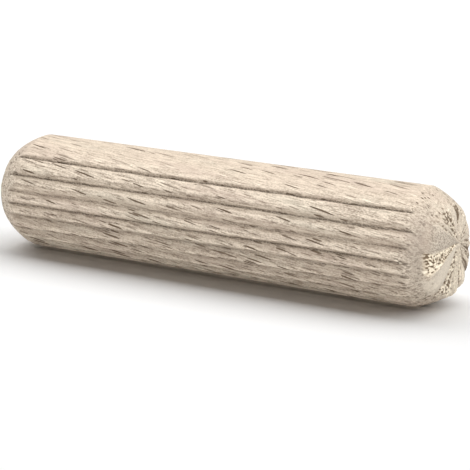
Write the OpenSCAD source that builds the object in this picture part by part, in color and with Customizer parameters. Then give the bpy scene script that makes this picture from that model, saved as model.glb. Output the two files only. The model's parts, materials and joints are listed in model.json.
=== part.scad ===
// Fluted wooden dowel pin, lying on its side along X, with its centre at the origin.
// Angles around the pin are counted from -Y (0) up over the top (+Z, 90) and on to +Y (180).

/* [Pin] */
// Diameter over the lands between the flutes
pin_d = 8; // [7:0.1:12]
// Length from tip to tip
pin_len = 35; // [20:1:60]

/* [Noses] */
// Length of each rounded nose, along the pin
nose_len = 2.05; // [1.2:0.05:3]
// Diameter of the end face inside the nose
face_d = 5.5; // [4:0.1:6]
// How far the nose swells past a straight chamfer
nose_swell = 0.12; // [0.04:0.01:0.25]

/* [Flutes] */
// Number of flutes that would fill a full turn
flute_count = 24; // [16:1:30]
// Depth of the deepest flute, opposite the bare side
flute_depth = 0.31; // [0.3:0.01:0.45]
// Distance of the fluting die from the pin's axis
die_offset = 0.14; // [0:0.01:0.14]
// Angle between the two walls of a flute
flute_angle = 110; // [80:1:120]
// Radius in the bottom of a flute
flute_root_r = 0.08; // [0.03:0.01:0.15]
// Direction of the middle of the bare side, which the die missed
bare_side = 120; // [90:15:150]
// Arc of the bare side
bare_arc = 100; // [0:5:150]

/* [Pressed ends] */
// Height of the low point on each end, above the rim of the end face
tip_h = 0.45; // [0.2:0.05:0.8]
// Rise of that point above the pin's axis
tip_rise = 0.4; // [0:0.05:0.6]
// Number of creases that run from the point to the rim
crease_count = 8; // [5:1:12]
// Depth of a crease at the point
crease_depth_mid = 0.05; // [0.03:0.01:0.1]
// Depth of a crease at the rim
crease_depth_rim = 0.22; // [0.1:0.01:0.35]
// Angle between the two walls of a crease
crease_angle = 110; // [80:1:130]
// Direction of the first crease
crease_start = 3; // [0:1:45]

/* [Hidden] */
$fn = 96;
wood = [0.80, 0.71, 0.60];
pin_r = pin_d / 2;
face_r = face_d / 2;
half_len = pin_len / 2;
rim_x = half_len - tip_h;
nose_x = rim_x - nose_len;
// Cutters stand this far out of the wood
clear_cut = 1;

// The nose's section is an arc from the barrel's edge to the rim of the end face
nose_chord = [face_r - pin_r, nose_len];
nose_arc_r = (nose_chord * nose_chord / 4 + nose_swell * nose_swell) / (2 * nose_swell);
nose_out = [nose_len, pin_r - face_r] / norm(nose_chord);
nose_mid = [(pin_r + face_r) / 2, nose_x + nose_len / 2];
nose_centre = nose_mid - nose_out * (nose_arc_r - nose_swell);

flute_step = 360 / flute_count;
// How far each flute strays from its even place, from the lowest one up the front
flute_strays = [0, 0, -1, -2, -3, -3, -3, -4, -1, 3];

// Direction of flute i. The lowest one faces straight down, so the pin rests on the two
// lands beside it.
function turn_of(i) = i * flute_step - 90 + (i < len(flute_strays) ? flute_strays[i] : 0);
flute_turns = [for (i = [0 : flute_count - 1]) turn_of(i)];

// Angle between two directions around the pin, 0 to 180
function apart(a, b) = acos(cos(a - b));

// Depth of the flute in direction a: the offset die bites deepest opposite the bare side
function depth_at(a) = flute_depth - die_offset * (1 + cos(a - bare_side));

// Half of the pin's section, with the radius along x and the pin's length along y
module half_section() {
  square([pin_r, nose_x]);
  intersection() {
    translate(nose_centre) circle(r = nose_arc_r);
    translate([0, nose_x - clear_cut]) square([pin_r, half_len - nose_x + clear_cut]);
  }
}

// Turned barrel with a rounded nose at both ends
module turned_blank() {
  rotate([0, 90, 0]) rotate_extrude() {
    half_section();
    mirror([0, 1]) half_section();
  }
}

// Section of the fluting tooth at a depth below the pin's surface, which is at y = 0
module tooth_section(depth) {
  half_a = flute_angle / 2;
  centre_y = flute_root_r - depth;
  root_x = flute_root_r * cos(half_a);
  root_y = centre_y - flute_root_r * sin(half_a);
  top_x = root_x + (clear_cut - root_y) * tan(half_a);
  translate([0, centre_y]) circle(r = flute_root_r);
  polygon([[-root_x, root_y], [root_x, root_y], [top_x, clear_cut], [-top_x, clear_cut]]);
}

// One flute's cutter, the full length of the pin, in direction a
module flute_cutter(a) {
  rotate([90 - a, 0, 0]) translate([0, 0, pin_r]) rotate([90, 0, 90])
    linear_extrude(pin_len + 2 * clear_cut, center = true) tooth_section(depth_at(a));
}

// Low cone that the right end is pressed into, reaching back over the whole pin
module end_cone() {
  reach = pin_len + clear_cut;
  translate([half_len - reach, 0, tip_rise]) rotate([0, 90, 0])
    cylinder(h = reach, r1 = reach * face_r / tip_h, r2 = 0);
}

// One crease's cutter in the right end, in direction a
module crease_cutter(a) {
  fall = tip_h + crease_depth_rim - crease_depth_mid;
  top_y = 2 * clear_cut * tan(crease_angle / 2);
  translate([half_len - crease_depth_mid, 0, tip_rise]) rotate([90 - a, 0, 0])
    rotate([0, -atan(fall / face_r), 0]) translate([0, 0, -clear_cut / 2])
      linear_extrude(face_d) polygon([[0, 0], [2 * clear_cut, top_y], [2 * clear_cut, -top_y]]);
}

module end_creases() {
  for (i = [0 : crease_count - 1]) crease_cutter(crease_start + i * 360 / crease_count);
}

module dowel_pin() {
  color(wood) difference() {
    intersection() {
      turned_blank();
      end_cone();
      mirror([1, 0, 0]) end_cone();
    }
    for (a = flute_turns) {
      if (apart(a, bare_side) > bare_arc / 2) flute_cutter(a);
    }
    end_creases();
    mirror([1, 0, 0]) end_creases();
  }
}

dowel_pin();
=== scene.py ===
import json
import math

import bpy
import numpy as np
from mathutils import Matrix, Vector, noise


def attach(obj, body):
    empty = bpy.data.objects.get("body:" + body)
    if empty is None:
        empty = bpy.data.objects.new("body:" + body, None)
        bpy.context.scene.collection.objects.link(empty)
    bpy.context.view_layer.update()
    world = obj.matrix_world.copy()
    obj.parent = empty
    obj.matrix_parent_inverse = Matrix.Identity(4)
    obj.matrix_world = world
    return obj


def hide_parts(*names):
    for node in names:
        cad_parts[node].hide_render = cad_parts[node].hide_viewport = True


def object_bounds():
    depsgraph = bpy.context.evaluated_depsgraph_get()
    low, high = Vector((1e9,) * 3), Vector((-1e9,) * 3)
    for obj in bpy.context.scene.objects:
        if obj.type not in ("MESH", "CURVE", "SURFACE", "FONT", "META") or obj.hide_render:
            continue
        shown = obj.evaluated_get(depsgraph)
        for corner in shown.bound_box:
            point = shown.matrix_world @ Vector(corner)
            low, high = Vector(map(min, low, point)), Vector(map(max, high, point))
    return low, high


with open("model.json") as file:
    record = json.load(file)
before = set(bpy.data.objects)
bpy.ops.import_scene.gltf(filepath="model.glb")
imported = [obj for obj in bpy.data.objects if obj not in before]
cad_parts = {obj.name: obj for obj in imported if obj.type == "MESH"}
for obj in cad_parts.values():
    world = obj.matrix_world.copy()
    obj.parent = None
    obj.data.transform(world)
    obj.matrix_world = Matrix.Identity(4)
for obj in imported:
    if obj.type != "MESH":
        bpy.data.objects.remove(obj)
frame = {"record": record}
cad_low, cad_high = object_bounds()

# ---------------------------------------------------------------- turned blank
# The pin is one piece of beech. Its rod is turned round and cut to length, and each end
# is then pressed: a rounded nose all round, and a flat cone inside it.
MM = 0.001
shank = frame["record"]["mounts"][0]["dims"]

# Radii, places along the pin from its middle, and lengths, all in mm.
pin_r = shank["r_mm"]
barrel_half = shank["length_mm"] / 2
tip_x = cad_high.x / MM
tip_rise = 0.4
face_r = 2.75
nose_len = 2.05
rim_round = 0.45
# The nose swells by this much half way, and this share of it goes along the pin and out.
nose_swell = 0.12
swell_along = 0.5
swell_out = 0.85
# How many rows and steps the blank is cut in, and how close points melt together, in metres.
barrel_rows = 46
nose_rows = 10
rim_rows = 14
face_rows = 40
steps_round = 450
weld = 1e-7

nose_slant = math.hypot(nose_len, pin_r - face_r)
face_slant = math.hypot(face_r, tip_x - barrel_half - nose_len)


def on_nose(t):
    """A point of the nose, from the barrel (0) to its rim (1)."""
    swell = 4 * nose_swell * t * (1 - t)
    x = barrel_half + nose_len * t + swell * swell_along
    r = pin_r + (face_r - pin_r) * t + swell * swell_out
    return x, r


def half_section():
    """Points (distance along the pin, radius) from the middle of the pin to its tip."""
    rim = on_nose(1)
    before = 1 - rim_round / nose_slant
    after = rim_round / face_slant
    start = on_nose(before)
    end = (rim[0] + (tip_x - rim[0]) * after, face_r * (1 - after))
    points = [(barrel_half * i / barrel_rows, pin_r) for i in range(barrel_rows)]
    points += [on_nose(before * i / nose_rows) for i in range(nose_rows)]
    for i in range(rim_rows):
        u = i / rim_rows
        bend = zip(start, rim, end)
        points.append(tuple((1 - u) ** 2 * a + 2 * u * (1 - u) * b + u**2 * c for a, b, c in bend))
    for i in range(face_rows):
        points.append((end[0] + (tip_x - end[0]) * i / face_rows, end[1] * (1 - i / face_rows)))
    points.append((tip_x, 0))
    return points


half = half_section()
section = [(-x, r) for x, r in reversed(half[1:])] + half

# One point at a tip is drawn out along the section, which is then turned about the axis.
bpy.ops.object.select_all(action="DESELECT")
bpy.ops.mesh.primitive_plane_add(size=MM, location=(section[0][0] * MM, 0, 0))
pin = bpy.context.object
pin.name = pin.data.name = "beech_pin"
bpy.ops.object.transform_apply(location=True)
bpy.ops.object.mode_set(mode="EDIT")
bpy.ops.mesh.merge(type="CENTER")
for (x, r), (next_x, next_r) in zip(section, section[1:]):
    step = ((next_x - x) * MM, 0, (next_r - r) * MM)
    bpy.ops.mesh.extrude_vertices_move(TRANSFORM_OT_translate={"value": step})
bpy.ops.object.mode_set(mode="OBJECT")
lathe = pin.modifiers.new("lathe", "SCREW")
lathe.axis = "X"
lathe.steps = lathe.render_steps = steps_round
lathe.use_merge_vertices = True
lathe.merge_threshold = weld
bpy.ops.object.modifier_apply(modifier="lathe")
bpy.ops.object.mode_set(mode="EDIT")
bpy.ops.mesh.select_all(action="SELECT")
bpy.ops.mesh.remove_doubles(threshold=weld)
bpy.ops.mesh.normals_make_consistent(inside=False)
bpy.ops.object.mode_set(mode="OBJECT")
bpy.ops.object.shade_smooth()

# Every vertex of the blank by its place along the pin, its radius, its direction, which
# counts from -Y (0) up over the top (90), and its way over the surface to the nearer tip.
# All the cuts are laid out on these.
blank = np.zeros(len(pin.data.vertices) * 3)
pin.data.vertices.foreach_get("co", blank)
blank = blank.reshape(-1, 3) / MM
along = blank[:, 0]
radius = np.hypot(blank[:, 1], blank[:, 2])
around = np.degrees(np.arctan2(blank[:, 2], -blank[:, 1]))
half_x, half_r = np.array(half).T
walked = np.append(0, np.cumsum(np.hypot(np.diff(half_x), np.diff(half_r))))
from_tip = np.interp(np.abs(along), half_x, walked[-1] - walked)


def press(name, depth, direction="NORMAL"):
    """Moves each vertex in, or down with "Z", by its own depth in mm. Below 0 it is lifted."""
    for sign in (1, -1):
        part = (depth * sign).clip(0)
        deepest = float(part.max())
        if deepest == 0:
            continue
        group = pin.vertex_groups.new(name=name)
        for i in np.flatnonzero(part > 0):
            group.add([int(i)], float(part[i]) / deepest, "REPLACE")
        displace = pin.modifiers.new(name, "DISPLACE")
        displace.direction = direction
        displace.mid_level = 0
        displace.strength = -sign * deepest * MM
        displace.vertex_group = name
        bpy.ops.object.modifier_apply(modifier=name)
        pin.vertex_groups.remove(pin.vertex_groups[name])


# The tip of each end's cone stands above the pin's axis.
raised = np.where(from_tip < face_slant, -tip_rise * (1 - radius / face_r), 0).clip(-tip_rise, 0)
press("tips", raised, direction="Z")

# ---------------------------------------------------------------- flutes
# Straight flutes are pressed along the barrel by a die that sits off the pin's axis. They
# are deep and close below, thin on the upper front, and the top is left bare. Each is a
# slanting wall that ends in a narrow crack, where the fibres parted, painted dark with shade.

# A crack's depth in mm and its reach to either side in degrees.
crack_depth = 0.08
crack_reach = 1.7

# Each flute's direction, its depth in mm, its reach above and below the crack in degrees,
# and how open the crack is. The last four are faint ones without a crack.
FLUTES = [
    (48.4, 0.18, 2.4, 3.6, 1.0),
    (28.5, 0.25, 5.4, 5.5, 1.0),
    (11.0, 0.27, 7.8, 5.0, 0.6),
    (-3.0, 0.27, 3.8, 7.5, 1.0),
    (-17.0, 0.28, 5.0, 11.0, 0.5),
    (-31.5, 0.28, 3.5, 11.0, 0.2),
    (-46.0, 0.25, 3.0, 10.5, 0.3),
    (-60.0, 0.31, 3.5, 8.0, 0.5),
    (2.5, 0.04, 4.0, 2.0, 0.0),
    (62.5, 0.03, 4.0, 4.0, 0.0),
    (72.0, 0.02, 2.5, 2.5, 0.0),
    (79.5, 0.03, 3.0, 3.5, 0.0),
]

# The flutes of the back are evenly spaced, and shallower the nearer they are to the bare side.
# Each flares with its depth, past a small lip in degrees.
back_turns = range(-75, -195, -15)
back_depth = 0.31
die_offset = 0.14
bare_side = 120
back_flare = 1.43
back_lip = 0.4
back_crack = 0.5
for turn in back_turns:
    depth = back_depth - die_offset * (1 + math.cos(math.radians(turn - bare_side)))
    spread = math.degrees(depth * back_flare / pin_r) + back_lip
    FLUTES.append((turn, depth, spread, spread, back_crack))

# How many degrees a flute bows and strays, how much its crack varies, and over how many mm.
bow = 0.3
bow_length = 3.1
stray = 0.5
stray_lengths = (1.7, 0.7)
crack_change = 0.35
crack_length = 1.3
# What keeps each flute's bow and noise apart from the next one's.
bow_apart = 1.7
noise_apart = 7.0


def grain(points, size, stretch=(1, 1, 1)):
    """Noise from about -1 to 1 with lumps of that size in mm, longer along stretch."""
    scaled = points / (size * np.array(stretch))
    return np.array([noise.noise(Vector(p)) for p in scaled])


def apart(angle, other):
    """Signed angle in degrees from other to angle, -180 to 180."""
    return (angle - other + 180) % 360 - 180


# A flute's floor gets its darkest painted shade where it is this deep or more. The painted
# shade fades up the walls.
full_depth = 0.25
valley_curve = 0.4

# A flute strays as it goes along, so it is laid out on one row of vertices after another.
# Rows are told apart by their place in mm to this many digits.
row_digits = 4
rows, row_of = np.unique(np.round(along, row_digits), return_inverse=True)
fluted = np.zeros(len(along))
crack_shade = np.zeros(len(along))
valley_shade = np.zeros(len(along))
for k, (turn, depth, above, below, opening) in enumerate(FLUTES):
    line = np.stack([rows, np.full(len(rows), noise_apart * k), np.zeros(len(rows))], 1)
    sway = bow * np.sin(rows / bow_length + bow_apart * k)
    for length in stray_lengths:
        sway = sway + stray * grain(line, length)
    strength = 1 + crack_change * grain(line, crack_length)
    off = apart(around, turn + sway[row_of])
    near = (1 - np.where(off > 0, off / above, -off / below)).clip(0)
    # The crack is cut in, and also painted dark with shade.
    slit = (1 - np.abs(off) / crack_reach).clip(0) * opening * strength[row_of]
    fluted = np.maximum(fluted, depth * near + crack_depth * slit)
    crack_shade = np.maximum(crack_shade, slit)
    # Painted shade in the flute's floor, fading up its walls.
    valley_shade = np.maximum(valley_shade, (near**valley_curve * (depth / full_depth) ** 2).clip(0, 1))
fluted = np.where(np.abs(along) < barrel_half + nose_len, fluted - (pin_r - radius), 0).clip(0)
crack_shade = np.where(fluted > 0, crack_shade.clip(0, 1), 0)
valley_shade = np.where(fluted > 0, valley_shade, 0)
press("flutes", fluted)

# ---------------------------------------------------------------- pressed ends
# Each end was crushed against a star. It left creases and ridges that run out from the
# tip, smooth wedges where the fibres were flattened and rough ones where they tore.

# The star's reach over the surface from the tip, and its centre above the cone's tip, in mm.
star_reach = 4.6
star_up = 0.2
# Its rays waver over so many mm and by so many degrees.
waver_size = 0.9
waver_turn = 5
# The left end was pressed by the same star, turned by so many degrees, and its marks are
# milder by this share.
left_turn = 37
left_mildness = 0.8

# Direction at the tip, direction at the rim, height there in mm and half width in degrees
# of each ridge, or crease where the height is below 0. The first is a broad bulge.
FOLDS = [
    (52, 50, 0.13, 42), (52, 52, 0.08, 4), (60, 60, -0.05, 3), (78, 70, -0.08, 6),
    (93, 90, 0.09, 5), (110, 98, -0.10, 5), (118, 107, 0.08, 4), (124, 114, -0.10, 5),
    (130, 127, 0.08, 8), (150, 148, -0.10, 8), (178, 176, -0.12, 8), (-165, -168, -0.12, 8),
    (-140, -136, -0.10, 6), (-124, -122, 0.12, 8), (-114, -108, -0.10, 5), (-98, -97, 0.08, 5),
    (-94, -86, -0.08, 4), (-76, -78, 0.08, 5), (-94, -65, -0.12, 5), (-66, -62, 0.06, 3),
    (-57, -57, -0.14, 4), (-42, -44, 0.04, 8), (-10, -20, 0.05, 6), (12, 12, -0.06, 3),
]
# Folds rise from the tip along a curve. Narrow ones also get painted light and shade:
# creases are painted dark, darkest from this depth in mm, and ridges a little pale.
fold_curve = 0.5
widest_crease = 12
deepest_crease = 0.14
ridge_light = 0.3

# Start and end of each rough wedge in degrees, how rough it is, its depth in mm, its reach
# from the tip in mm, and how much painted shade it gets.
ROUGH = [
    (-18, 8, 1.0, 0.06, 3.4, 0.1), (-84, -54, 0.9, 0.03, 3.0, 0.2),
    (-134, -84, 0.7, 0.0, 3.4, 0.1), (-145, -131, 0.6, 0.02, 3.2, 0.9),
    (-176, -143, 0.6, 0.04, 3.2, 0.0), (44, 62, 0.4, 0.0, 3.3, 0.0),
    (56, 82, 0.8, 0.03, 3.0, 0.7), (95, 107, 0.8, 0.03, 3.0, 0.9),
    (112, 121, 0.6, 0.02, 3.0, 0.6), (121, 184, 0.5, 0.02, 3.1, 0.0),
]
# Where they start from the tip and how softly, how they deepen outwards, and how much
# painted shade they get as a whole and in their crumbs.
wedge_start = 0.3
wedge_soft = 0.3
sunk_curve = 0.6
wedge_shade = 0.6
wedge_shade_speckle = 1.3

# The wedge whose fibres tore, then every wedge that crumbled: its start and end in degrees
# and how much of it is fine crumbs. Elsewhere rough wood is mostly in furrows that run out.
torn_sector = (-18, 8)
torn_reach = 3.4
torn_fuzz = 0.4
CRUMBLED = [(-18, 8, 1.0), (-80, -54, 0.8), (56, 84, 0.8), (95, 122, 0.7)]
# The crumbs' sizes in mm, how high crumbs and furrows stand to each other, how fine the
# furrows are, how much both lift the wood in mm, and how strongly their raised bits are
# painted pale as highlight and their sunk bits dark as shade.
crumb_sizes = (0.13, 0.09)
crumb_height = 0.6
crumb_gain = 0.6
furrow_height = 0.9
furrow_loss = 0.5
furrow_fineness = 14
furrow_size = 0.9
furrow_stretch = (1, 1, 2.0)
lump_height = 0.075
lump_shading = 2.1
crumb_shading = 0.9

# The fuzz on both rims, and the burr that the star pushed out below the right one, with
# its start, end and softness in degrees.
rim_fuzz = 0.22
burr = 0.16
burred_sector = (-180, -78, 40)

# Bands out from the tip: where each starts and ends in mm, and how softly.
fold_band = (-math.inf, 3.1, 0.5)
crease_band = (0.2, 2.7, 0.6)
fuzz_band = (2.7, 3.6, 0.5)
burr_band = (2.2, 3.8, 1.2)
mild_band = (1.2, math.inf, 1.0)


def sector(angle, start, end, soft=4):
    """1 inside a sector of the end face, 0 outside it, soft over its sides."""
    off = np.abs(apart(angle, (start + end) / 2))
    return (((end - start) / 2 - off) / soft + 0.5).clip(0, 1)


def between(values, start, end, soft):
    """1 between start and end, 0 outside them, soft over both."""
    return np.minimum((values - start) / soft + 0.5, (end - values) / soft + 0.5).clip(0, 1)


crushed = np.flatnonzero(from_tip < star_reach)
spots = blank[crushed]
reach = from_tip[crushed]
share = reach / face_slant
right_end = spots[:, 0] > 0
turned = np.where(right_end, 0, left_turn)
mild = np.where(right_end, 1.0, 1.0 - left_mildness * between(reach, *mild_band))
waver = grain(spots, waver_size)
lift = star_up * (1 - share).clip(0)
angle = np.degrees(np.arctan2(spots[:, 2] - lift, -spots[:, 1])) + turned + waver_turn * waver

folds = np.zeros(len(crushed))
creases = np.zeros(len(crushed))
for at_tip, at_rim, height, half_width in FOLDS:
    off = np.abs(apart(angle, at_tip + (at_rim - at_tip) * share))
    fold = (1 - off / half_width).clip(0) * height * share.clip(0, 1) ** fold_curve
    folds += fold
    creases += fold * (half_width < widest_crease)
folds = folds * between(reach, *fold_band)
creases = creases * between(reach, *crease_band)

rough = rim_fuzz * between(reach, *fuzz_band)
sunk = np.zeros(len(crushed))
shade = np.zeros(len(crushed))
for start, end, roughness, deep, out_to, dark in ROUGH:
    here = sector(angle, start, end) * between(reach, wedge_start, out_to, wedge_soft)
    rough = np.maximum(rough, roughness * here)
    sunk = np.maximum(sunk, deep * here * share.clip(0, 1) ** sunk_curve)
    shade = np.maximum(shade, dark * here)

crumbled = np.zeros(len(crushed))
for start, end, how_fine in CRUMBLED:
    crumbled = np.maximum(crumbled, how_fine * sector(angle, start, end))
crumbs = sum(grain(spots, size) for size in crumb_sizes)
furrow_y = furrow_fineness * np.cos(np.radians(angle))
furrow_z = furrow_fineness * np.sin(np.radians(angle))
furrows = grain(np.stack([furrow_y, furrow_z, reach], 1), furrow_size, furrow_stretch)
lumps = (crumb_height + crumb_gain * crumbled) * crumbs
lumps = lumps + (furrow_height - furrow_loss * crumbled) * furrows

burred = burr * sector(angle, *burred_sector) * between(reach, *burr_band)
burred = np.where(right_end, burred, 0)
relief = np.zeros(len(along))
relief[crushed] = mild * (sunk - folds - rough * lump_height * lumps) - burred
press("pressed_ends", relief)

torn_here = sector(angle, *torn_sector) * between(reach, wedge_start, torn_reach, wedge_soft)
torn = np.zeros(len(along))
torn[crushed] = (torn_here + torn_fuzz * rough).clip(0, 1)
# Painted light and shade on the pressed ends: raised crumbs and ridges pale, sunk crumbs, creases and the
# shaded wedges dark.
lump_shadings = rough * lumps * (lump_shading + crumb_shading * crumbled)
crease_shadings = (creases / deepest_crease).clip(-1, ridge_light)
light_and_shade = np.zeros(len(along))
light_and_shade[crushed] = lump_shadings + crease_shadings - shade * (wedge_shade + wedge_shade_speckle * crumbs)

# ---------------------------------------------------------------- knocks
# Pressing and handling left small hurts on the wood: nicks where the flutes start, and
# one splinter that stands up beside the slit it was torn from.

# Place along the pin, direction, length in mm, arc in degrees and depth of each nick.
NICKS = [(-15.32, 29.3, 0.28, 3.0, 0.12), (16.04, 105, 0.3, 2.5, 0.06), (16.32, 9.0, 0.12, 3.5, 0.06)]
nick_edge = 0.6

# Both ends of the splinter and of its slit, each by its place along the pin and direction,
# then how wide they are, how far they rise and sink in mm, and how pale the splinter is
# painted, partly its own paler wood and partly painted highlight.
splinter_ends = ((14.80, 2.5), (15.32, -5.0))
slit_ends = ((14.98, 1.5), (15.52, -5.2))
splinter_width = 0.08
slit_width = 0.09
splinter_lift = 0.05
splinter_light = 1.2

nicks = np.zeros(len(along))
for x, turn, length, arc, depth in NICKS:
    near = (1 - np.hypot((along - x) / length, apart(around, turn) / arc)).clip(0)
    nicks = np.maximum(nicks, depth * near)
    # The middle of each nick is painted dark with shade.
    crack_shade = np.maximum(crack_shade, near.clip(0, nick_edge) / nick_edge)


def beside(ends, width):
    """1 on a line over the barrel between both ends, 0 from that width in mm off it."""
    places = np.stack([along, pin_r * np.radians(around)], 1)
    start, end = (np.array([x, pin_r * math.radians(turn)]) for x, turn in ends)
    run = end - start
    passed = ((places - start) @ run / (run @ run)).clip(0, 1)
    return (1 - np.linalg.norm(places - start - passed[:, None] * run, axis=1) / width).clip(0)


splinter = beside(splinter_ends, splinter_width)
under_it = beside(slit_ends, slit_width)
nicks += splinter_lift * under_it - splinter_lift * splinter
# The splinter is painted pale, partly its own paler wood and partly painted highlight.
light_and_shade += splinter_light * splinter
# The slit beside the splinter is painted dark with shadow.
crack_shade = np.maximum(crack_shade, under_it)
press("nicks", nicks)

# ---------------------------------------------------------------- marks
# The ends differ in colour too: greyer and duller on the nose, smoother and paler on the
# cones, which the star flattened, with one grey wedge and one wedge of painted highlight on
# each. The finish reads these marks, and those of the tears, the painted shade of cracks and
# flutes and the painted light and shade of the pressed ends, from every vertex.

# Bands are as on the ends, and sectors have a start and an end in degrees. The nose is
# marked most in front, and less on the left end.
nose_band = (3.0, 4.7, 1.3)
nose_all_round = 0.2
nose_front = 0.8
left_nose = 0.4
face_band = (-math.inf, 3.1, 0.3)
face_ragged = 0.3
ragged_size = 0.5
dull_sector = (8, 42)
dull_band = (0.2, 3.3, 0.25)
# The pale wedge is a painted highlight on the lower smooth wedge of each end.
lit_sector = (-52, -24)
lit_band = (0.2, 3.7, 0.25)
wedge_ragged = 0.2

nose = between(from_tip, *nose_band)
nose = nose * (nose_all_round + nose_front * np.cos(np.radians(around)).clip(0) ** 2)
nose = np.where(along > 0, nose, nose * left_nose)
face = between(from_tip + face_ragged * grain(blank, ragged_size), *face_band)
ragged_reach = reach + wedge_ragged * waver
dull = np.zeros(len(along))
dull[crushed] = sector(angle, *dull_sector) * between(ragged_reach, *dull_band)
lit = np.zeros(len(along))
lit[crushed] = sector(angle, *lit_sector) * between(ragged_reach, *lit_band)

marks = {
    "torn": torn,
    "light_and_shade": light_and_shade,
    "crack_shade": crack_shade,
    "valley_shade": valley_shade,
    "nose": nose,
    "face": face,
    "dull": dull,
    "lit": lit,
}
for name, values in marks.items():
    layer = pin.data.attributes.new(name, "FLOAT", "POINT")
    layer.data.foreach_set("value", values.astype(np.float32))


# ---------------------------------------------------------------- beech
# Steamed beech, bare and matte: a pale tan with short dark ray flecks and fine fibres,
# which wind 11 and 6 degrees off the pin's axis. The torn end grain is more golden.
class Field:
    """A value that changes over the wood. Sums written with it add the Math nodes."""

    def __init__(self, socket):
        self.socket = socket

    def node(self, kind, settings, links, output=0):
        """Any other node: its type, its settings, then values or links for its sockets."""
        made = self.socket.id_data.nodes.new(kind)
        for name, value in settings.items():
            setattr(made, name, value)
        for name, value in links.items():
            if isinstance(value, Field):
                self.socket.id_data.links.new(value.socket, made.inputs[name])
            else:
                made.inputs[name].default_value = value
        return Field(made.outputs[output])

    def also(self, output):
        """Another output of the same node."""
        return Field(self.socket.node.outputs[output])

    def into(self, socket):
        """Feeds this to a socket."""
        self.socket.id_data.links.new(self.socket, socket)

    def math(self, operation, one, other):
        """A Math node with that operation."""
        return self.node("ShaderNodeMath", {"operation": operation}, {0: one, 1: other})

    def __add__(self, other):
        return self.math("ADD", self, other)

    def __radd__(self, other):
        return self.math("ADD", other, self)

    def __sub__(self, other):
        return self.math("SUBTRACT", self, other)

    def __rsub__(self, other):
        return self.math("SUBTRACT", other, self)

    def __mul__(self, other):
        return self.math("MULTIPLY", self, other)

    def __rmul__(self, other):
        return self.math("MULTIPLY", other, self)

    def step(self, low, high):
        """0 before low, 1 past high and smooth between, whichever of them is larger."""
        settings = {"interpolation_type": "SMOOTHSTEP"}
        return self.node("ShaderNodeMapRange", settings, {"Value": self, "From Min": low, "From Max": high})

    def mix(self, low, high):
        """The colour low (socket 6) where this is 0 and high (socket 7) where it is 1."""
        settings = {"data_type": "RGBA"}
        return self.node("ShaderNodeMix", settings, {0: self, 6: low, 7: high}, output=2)


beech = bpy.data.materials.new("beech")
beech.use_nodes = True
shader = beech.node_tree.nodes["Principled BSDF"]
shader.inputs["Roughness"].default_value = 0.75
shader.inputs["Specular IOR Level"].default_value = 0.2

# Places in the wood in mm. Flecks and fibres wind round the axis, in radians a mm.
fleck_turn = -0.05
fibre_turn = -0.025
place = Field(shader.outputs["BSDF"]).node("ShaderNodeTexCoord", {}, {}, output="Object")
in_mm = place.node("ShaderNodeVectorMath", {"operation": "SCALE"}, {0: place, "Scale": 1 / MM})
x_mm = in_mm.node("ShaderNodeSeparateXYZ", {}, {0: in_mm})
z_mm = x_mm.also("Z")
about_axis = {"rotation_type": "X_AXIS"}
in_flecks = in_mm.node("ShaderNodeVectorRotate", about_axis, {"Vector": in_mm, "Angle": x_mm * fleck_turn})
in_fibres = in_mm.node("ShaderNodeVectorRotate", about_axis, {"Vector": in_mm, "Angle": x_mm * fibre_turn})

# More flecks show low down, and they crowd on top of the right half. Each limit is where
# the change starts and where it is full, in mm.
low_down = (1.0, -2.5)
crowd_left = (6.0, 8.5)
crowd_right = (15.0, 14.0)
crowd_top = (3.7, 3.9)
low_side = z_mm.step(*low_down)
crowded = x_mm.step(*crowd_left) * x_mm.step(*crowd_right) * z_mm.step(*crowd_top)


def stretched(spot, length, width):
    """A place counted in patches that are so long and wide in mm."""
    counts = (1 / length, 1 / width, 1 / width)
    return spot.node("ShaderNodeVectorMath", {"operation": "MULTIPLY"}, {0: spot, 1: counts})


def streaks(length, width, detail=2.0):
    """Noise drawn out along the fibres, in streaks so long and wide in mm."""
    spot = stretched(in_fibres, length, width)
    links = {"Vector": spot, "Scale": 1.0, "Detail": detail, "Roughness": 0.6}
    return spot.node("ShaderNodeTexNoise", {}, links)


def attribute(name):
    """One of the marks, as it lies on the pin."""
    return place.node("ShaderNodeAttribute", {"attribute_name": name}, {}, output="Fac")


# How sizes of flecks spread and how many are too small to show, how much larger they are
# where there are more of them, how soft their edges are, and how their darkness varies.
fleck_spread = 1.6
fleck_loss = 0.6
low_growth = 0.1
crowd_growth = 0.2
fleck_edge = 0.06
low_darkening = 0.3
faintest = 0.1
darkest_fleck = 0.85


def flecks(length, width, largest, moved=0.0):
    """Spindles scattered through the wood, each with its own size and darkness."""
    spot = stretched(in_flecks, length, width)
    spot = spot.node("ShaderNodeVectorMath", {"operation": "ADD"}, {0: spot, 1: (moved,) * 3})
    distance = spot.node("ShaderNodeTexVoronoi", {}, {"Vector": spot, "Scale": 1.0, "Randomness": 1.0})
    hue = distance.also("Color")
    size_lot = hue.node("ShaderNodeSeparateColor", {}, {0: hue})
    dark_lot = size_lot.also("Green")
    size = size_lot * fleck_spread - fleck_loss + low_side * low_growth + crowded * crowd_growth
    darkness = (dark_lot + low_side * low_darkening).step(faintest, darkest_fleck)
    return (size * largest - distance).step(0.0, fleck_edge) * darkness


ray_flecks = flecks(length=2.3, width=0.14, largest=0.50)
small_flecks = flecks(length=1.2, width=0.12, largest=0.42)
pale_flecks = flecks(length=1.4, width=0.10, largest=0.42, moved=7.3)
fuzz = streaks(length=0.15, width=0.09, detail=1.0)
fine = streaks(length=1.3, width=0.10, detail=1.0)
fibres_long = streaks(length=3.2, width=0.17, detail=1.0)
mottle = streaks(length=4.0, width=0.5)
patch = streaks(length=9.0, width=1.6)
# The die's own fine lines run straight along the flutes.
die_lines = {"Vector": stretched(in_mm, length=4.0, width=0.13), "Scale": 1.0, "Detail": 2.0}
press_lines = in_mm.node("ShaderNodeTexNoise", {}, die_lines)
light_and_shade_mark = attribute("light_and_shade")
nose_mark = attribute("nose")
face_mark = attribute("face")

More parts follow.
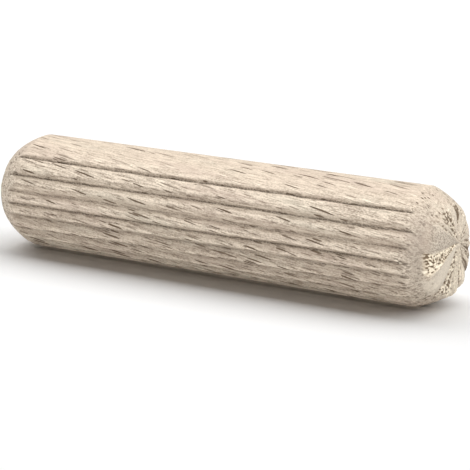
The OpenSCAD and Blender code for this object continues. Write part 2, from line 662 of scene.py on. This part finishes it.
# Each colour of the finish, and how fully it covers what lies below it.
pale = (0.71, 0.61, 0.495, 1)
# The top's colour, painted warmer for the light that rakes over it.
lit_top_peach = (0.64, 0.54, 0.432, 1)
tan = (0.165, 0.123, 0.089, 1)
rose = (0.46, 0.365, 0.30, 1)
rose_cover = 0.45
straw = (0.52, 0.475, 0.385, 1)
straw_cover = 0.35
# Pale split fibres of the flecks, also the painted highlight of the pressed ends.
pale_fibre_and_highlight = (0.88, 0.79, 0.64, 1)
pale_fleck_cover = 0.5
end_highlight_cover = 0.7
fleck_brown = (0.085, 0.052, 0.028, 1)
small_fleck_cover = 0.65
ray_fleck_cover = 0.95
# Painted shade for the flutes' floors, with the die's fine lines in it.
valley_shade_brown = (0.185, 0.140, 0.102, 1)
valley_shade_cover = 0.18
die_lines_shade_cover = 0.45
# Painted shade for cracks, nicks and the slit beside the splinter.
crack_shade_brown = (0.05, 0.032, 0.017, 1)
crack_shade_cover = 0.35
# Grey for the noses, most on their front, and for the grey wedges.
nose_and_wedge_grey = (0.19, 0.16, 0.13, 1)
nose_cover = 0.5
dull_cover = 0.15
fuzz_cover = 0.5
# Paler colour of the flattened cones, also the painted highlight of the pale wedge.
flattened_and_highlight = (0.60, 0.535, 0.445, 1)
face_cover = 0.4
lit_cover = 0.5
gold = (0.66, 0.55, 0.40, 1)
gold_cover = 0.6
# Painted shade for the pressed ends' sunk crumbs, creases and shaded wedges.
end_shade_brown = (0.10, 0.062, 0.032, 1)
end_shade_cover = 0.85

# The wood from its palest to its darkest fibres, with patches of rose and straw. On top it
# is painted warmer, a little darker and calmer, for the light that rakes over it there.
# Limits say where a change starts and where it is full.
lit_top_limits = (2.6, 3.9)
top_washout = 0.3
fuzz_weight = 1.15
fine_weight = 1.3
long_weight = 0.45
mottle_weight = 0.25
palest_to_darkest = (1.06, 2.32)
rose_patches = (0.5, 0.72)
straw_patches = (0.5, 0.28)
top = z_mm.step(*lit_top_limits)
washed_top = 1 - top * top_washout
dark = fuzz * fuzz_weight + fine * fine_weight + fibres_long * long_weight + mottle * mottle_weight
wood = (dark.step(*palest_to_darkest) * washed_top).mix(top.mix(pale, lit_top_peach), tan)
wood = (patch.step(*rose_patches) * rose_cover).mix(wood, rose)
wood = (patch.step(*straw_patches) * straw_cover).mix(wood, straw)

# Its flecks, fainter on the crushed ends.
ends_limits = (0.0, 0.9)
ends_fainter = 0.6
on_barrel = 1 - (nose_mark + face_mark).step(*ends_limits) * ends_fainter
wood = (pale_flecks * on_barrel * pale_fleck_cover).mix(wood, pale_fibre_and_highlight)
# Small flecks are painted calmer on top too, where the light rakes over it.
wood = (small_flecks * on_barrel * washed_top * small_fleck_cover).mix(wood, fleck_brown)
wood = (ray_flecks * on_barrel * ray_fleck_cover).mix(wood, fleck_brown)

# The marks on the flutes and ends: painted shade in the flutes' floors and in cracks,
# nicks and the slit, greyer noses, paler cones, a grey wedge and a wedge of painted
# highlight, golden torn grain, and painted light and shade on the pressed ends. Fuzz makes
# cracks and grey wedges ragged.
ragged_cracks = (0.35, 0.6)
ragged_grey = (0.42, 0.62)
light_and_shade_limits = (0.1, 0.9)
wood = (attribute("valley_shade") * (valley_shade_cover + press_lines * die_lines_shade_cover)).mix(wood, valley_shade_brown)
# Painted shade in cracks, made ragged by fuzz.
wood = (attribute("crack_shade") * (fuzz.step(*ragged_cracks) * fuzz_cover + crack_shade_cover)).mix(wood, crack_shade_brown)
wood = (nose_mark * nose_cover).mix(wood, nose_and_wedge_grey)
wood = (face_mark * face_cover).mix(wood, flattened_and_highlight)
wood = (attribute("dull") * (fuzz.step(*ragged_grey) * fuzz_cover + dull_cover)).mix(wood, nose_and_wedge_grey)
# Painted highlight on the pale wedge.
wood = (attribute("lit") * lit_cover).mix(wood, flattened_and_highlight)
wood = (attribute("torn") * gold_cover).mix(wood, gold)
# Painted highlight, then painted shade, on the pressed ends.
wood = (light_and_shade_mark.step(*light_and_shade_limits) * end_highlight_cover).mix(wood, pale_fibre_and_highlight)
wood = ((light_and_shade_mark * -1).step(*light_and_shade_limits) * end_shade_cover).mix(wood, end_shade_brown)
wood.into(shader.inputs["Base Color"])

# Dark fibres and flecks lie lower than the rest: one step in mm, and the steps of each.
grain_step = 0.045
fibre_sink = 0.5
fleck_sink = 1.2
height = dark * -fibre_sink - ray_flecks * fleck_sink
depths = {"Strength": 1.0, "Distance": grain_step * MM, "Height": height}
height.node("ShaderNodeBump", {}, depths).into(shader.inputs["Normal"])

pin.data.materials.append(beech)
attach(pin, "root")
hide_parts("dowel_pin")

# ---------------------------------------------------------------- floor, light and camera
# A plain white table, a faint white sky and one wide soft lamp overhead. Three small lamps
# stand for the light that a white room throws back on the pin. The camera stands at the
# front right, a little above the pin.
floor_size = 3.0
floor_white = (0.97, 0.97, 0.97, 1)
sky_white = (1, 1, 1, 1)
sky_strength = 0.09

bpy.ops.object.select_all(action="DESELECT")
bpy.ops.mesh.primitive_plane_add(size=floor_size, location=(0, 0, cad_low.z))
floor = bpy.context.object
floor.name = "floor"
card = bpy.data.materials.new("white_card")
card.use_nodes = True
card_shader = card.node_tree.nodes["Principled BSDF"]
card_shader.inputs["Base Color"].default_value = floor_white
card_shader.inputs["Roughness"].default_value = 1.0
card_shader.inputs["Specular IOR Level"].default_value = 0.0
floor.data.materials.append(card)

sky = bpy.data.worlds.new("sky")
sky.use_nodes = True
sky_shader = sky.node_tree.nodes["Background"]
sky_shader.inputs["Color"].default_value = sky_white
sky_shader.inputs["Strength"].default_value = sky_strength
bpy.context.scene.world = sky

# The flagged lamps light what is in here and nothing else.
off_table = bpy.data.collections.new("off_table")
off_table.objects.link(pin)


def soft_lamp(name, place, width, height, watts, flagged=False):
    """A soft box that faces the pin. A flagged one lights the pin alone and not the table."""
    data = bpy.data.lights.new(name, "AREA")
    data.shape = "RECTANGLE"
    data.size = width
    data.size_y = height
    data.energy = watts
    lamp = bpy.data.objects.new(name, data)
    lamp.location = place
    lamp.rotation_euler = Vector(place).to_track_quat("Z", "Y").to_euler()
    bpy.context.scene.collection.objects.link(lamp)
    if flagged:
        lamp.light_linking.receiver_collection = off_table
        lamp.light_linking.blocker_collection = off_table


soft_lamp("key", place=(0, 0.17, 0.46), width=2.4, height=0.5, watts=9.1)
soft_lamp("fill", place=(0.12, -0.35, 0.35), width=0.6, height=0.5, watts=2.9, flagged=True)
soft_lamp("side", place=(0.5, 0.0, 0.15), width=0.4, height=0.4, watts=0.35, flagged=True)
soft_lamp("under", place=(0.1, -0.38, -0.11), width=0.7, height=0.25, watts=1.05, flagged=True)

camera_turn = math.radians(30.72)
camera_rise = math.radians(14.60)
camera_away = 0.1461
camera_lens = 163.5
camera_sensor = 36
camera_shift_x = 0.0203
camera_shift_y = -0.0393
camera_nearest = 0.01

level = math.cos(camera_rise)
back = Vector((math.sin(camera_turn) * level, -math.cos(camera_turn) * level, math.sin(camera_rise)))
camera_data = bpy.data.cameras.new("camera")
camera_data.sensor_width = camera_sensor
camera_data.lens = camera_lens
camera_data.shift_x = camera_shift_x
camera_data.shift_y = camera_shift_y
camera_data.clip_start = camera_nearest
camera = bpy.data.objects.new("camera", camera_data)
camera.location = back * camera_away
camera.rotation_euler = back.to_track_quat("Z", "Y").to_euler()
bpy.context.scene.collection.objects.link(camera)
bpy.context.scene.camera = camera
bpy.context.scene.view_settings.view_transform = "Standard"
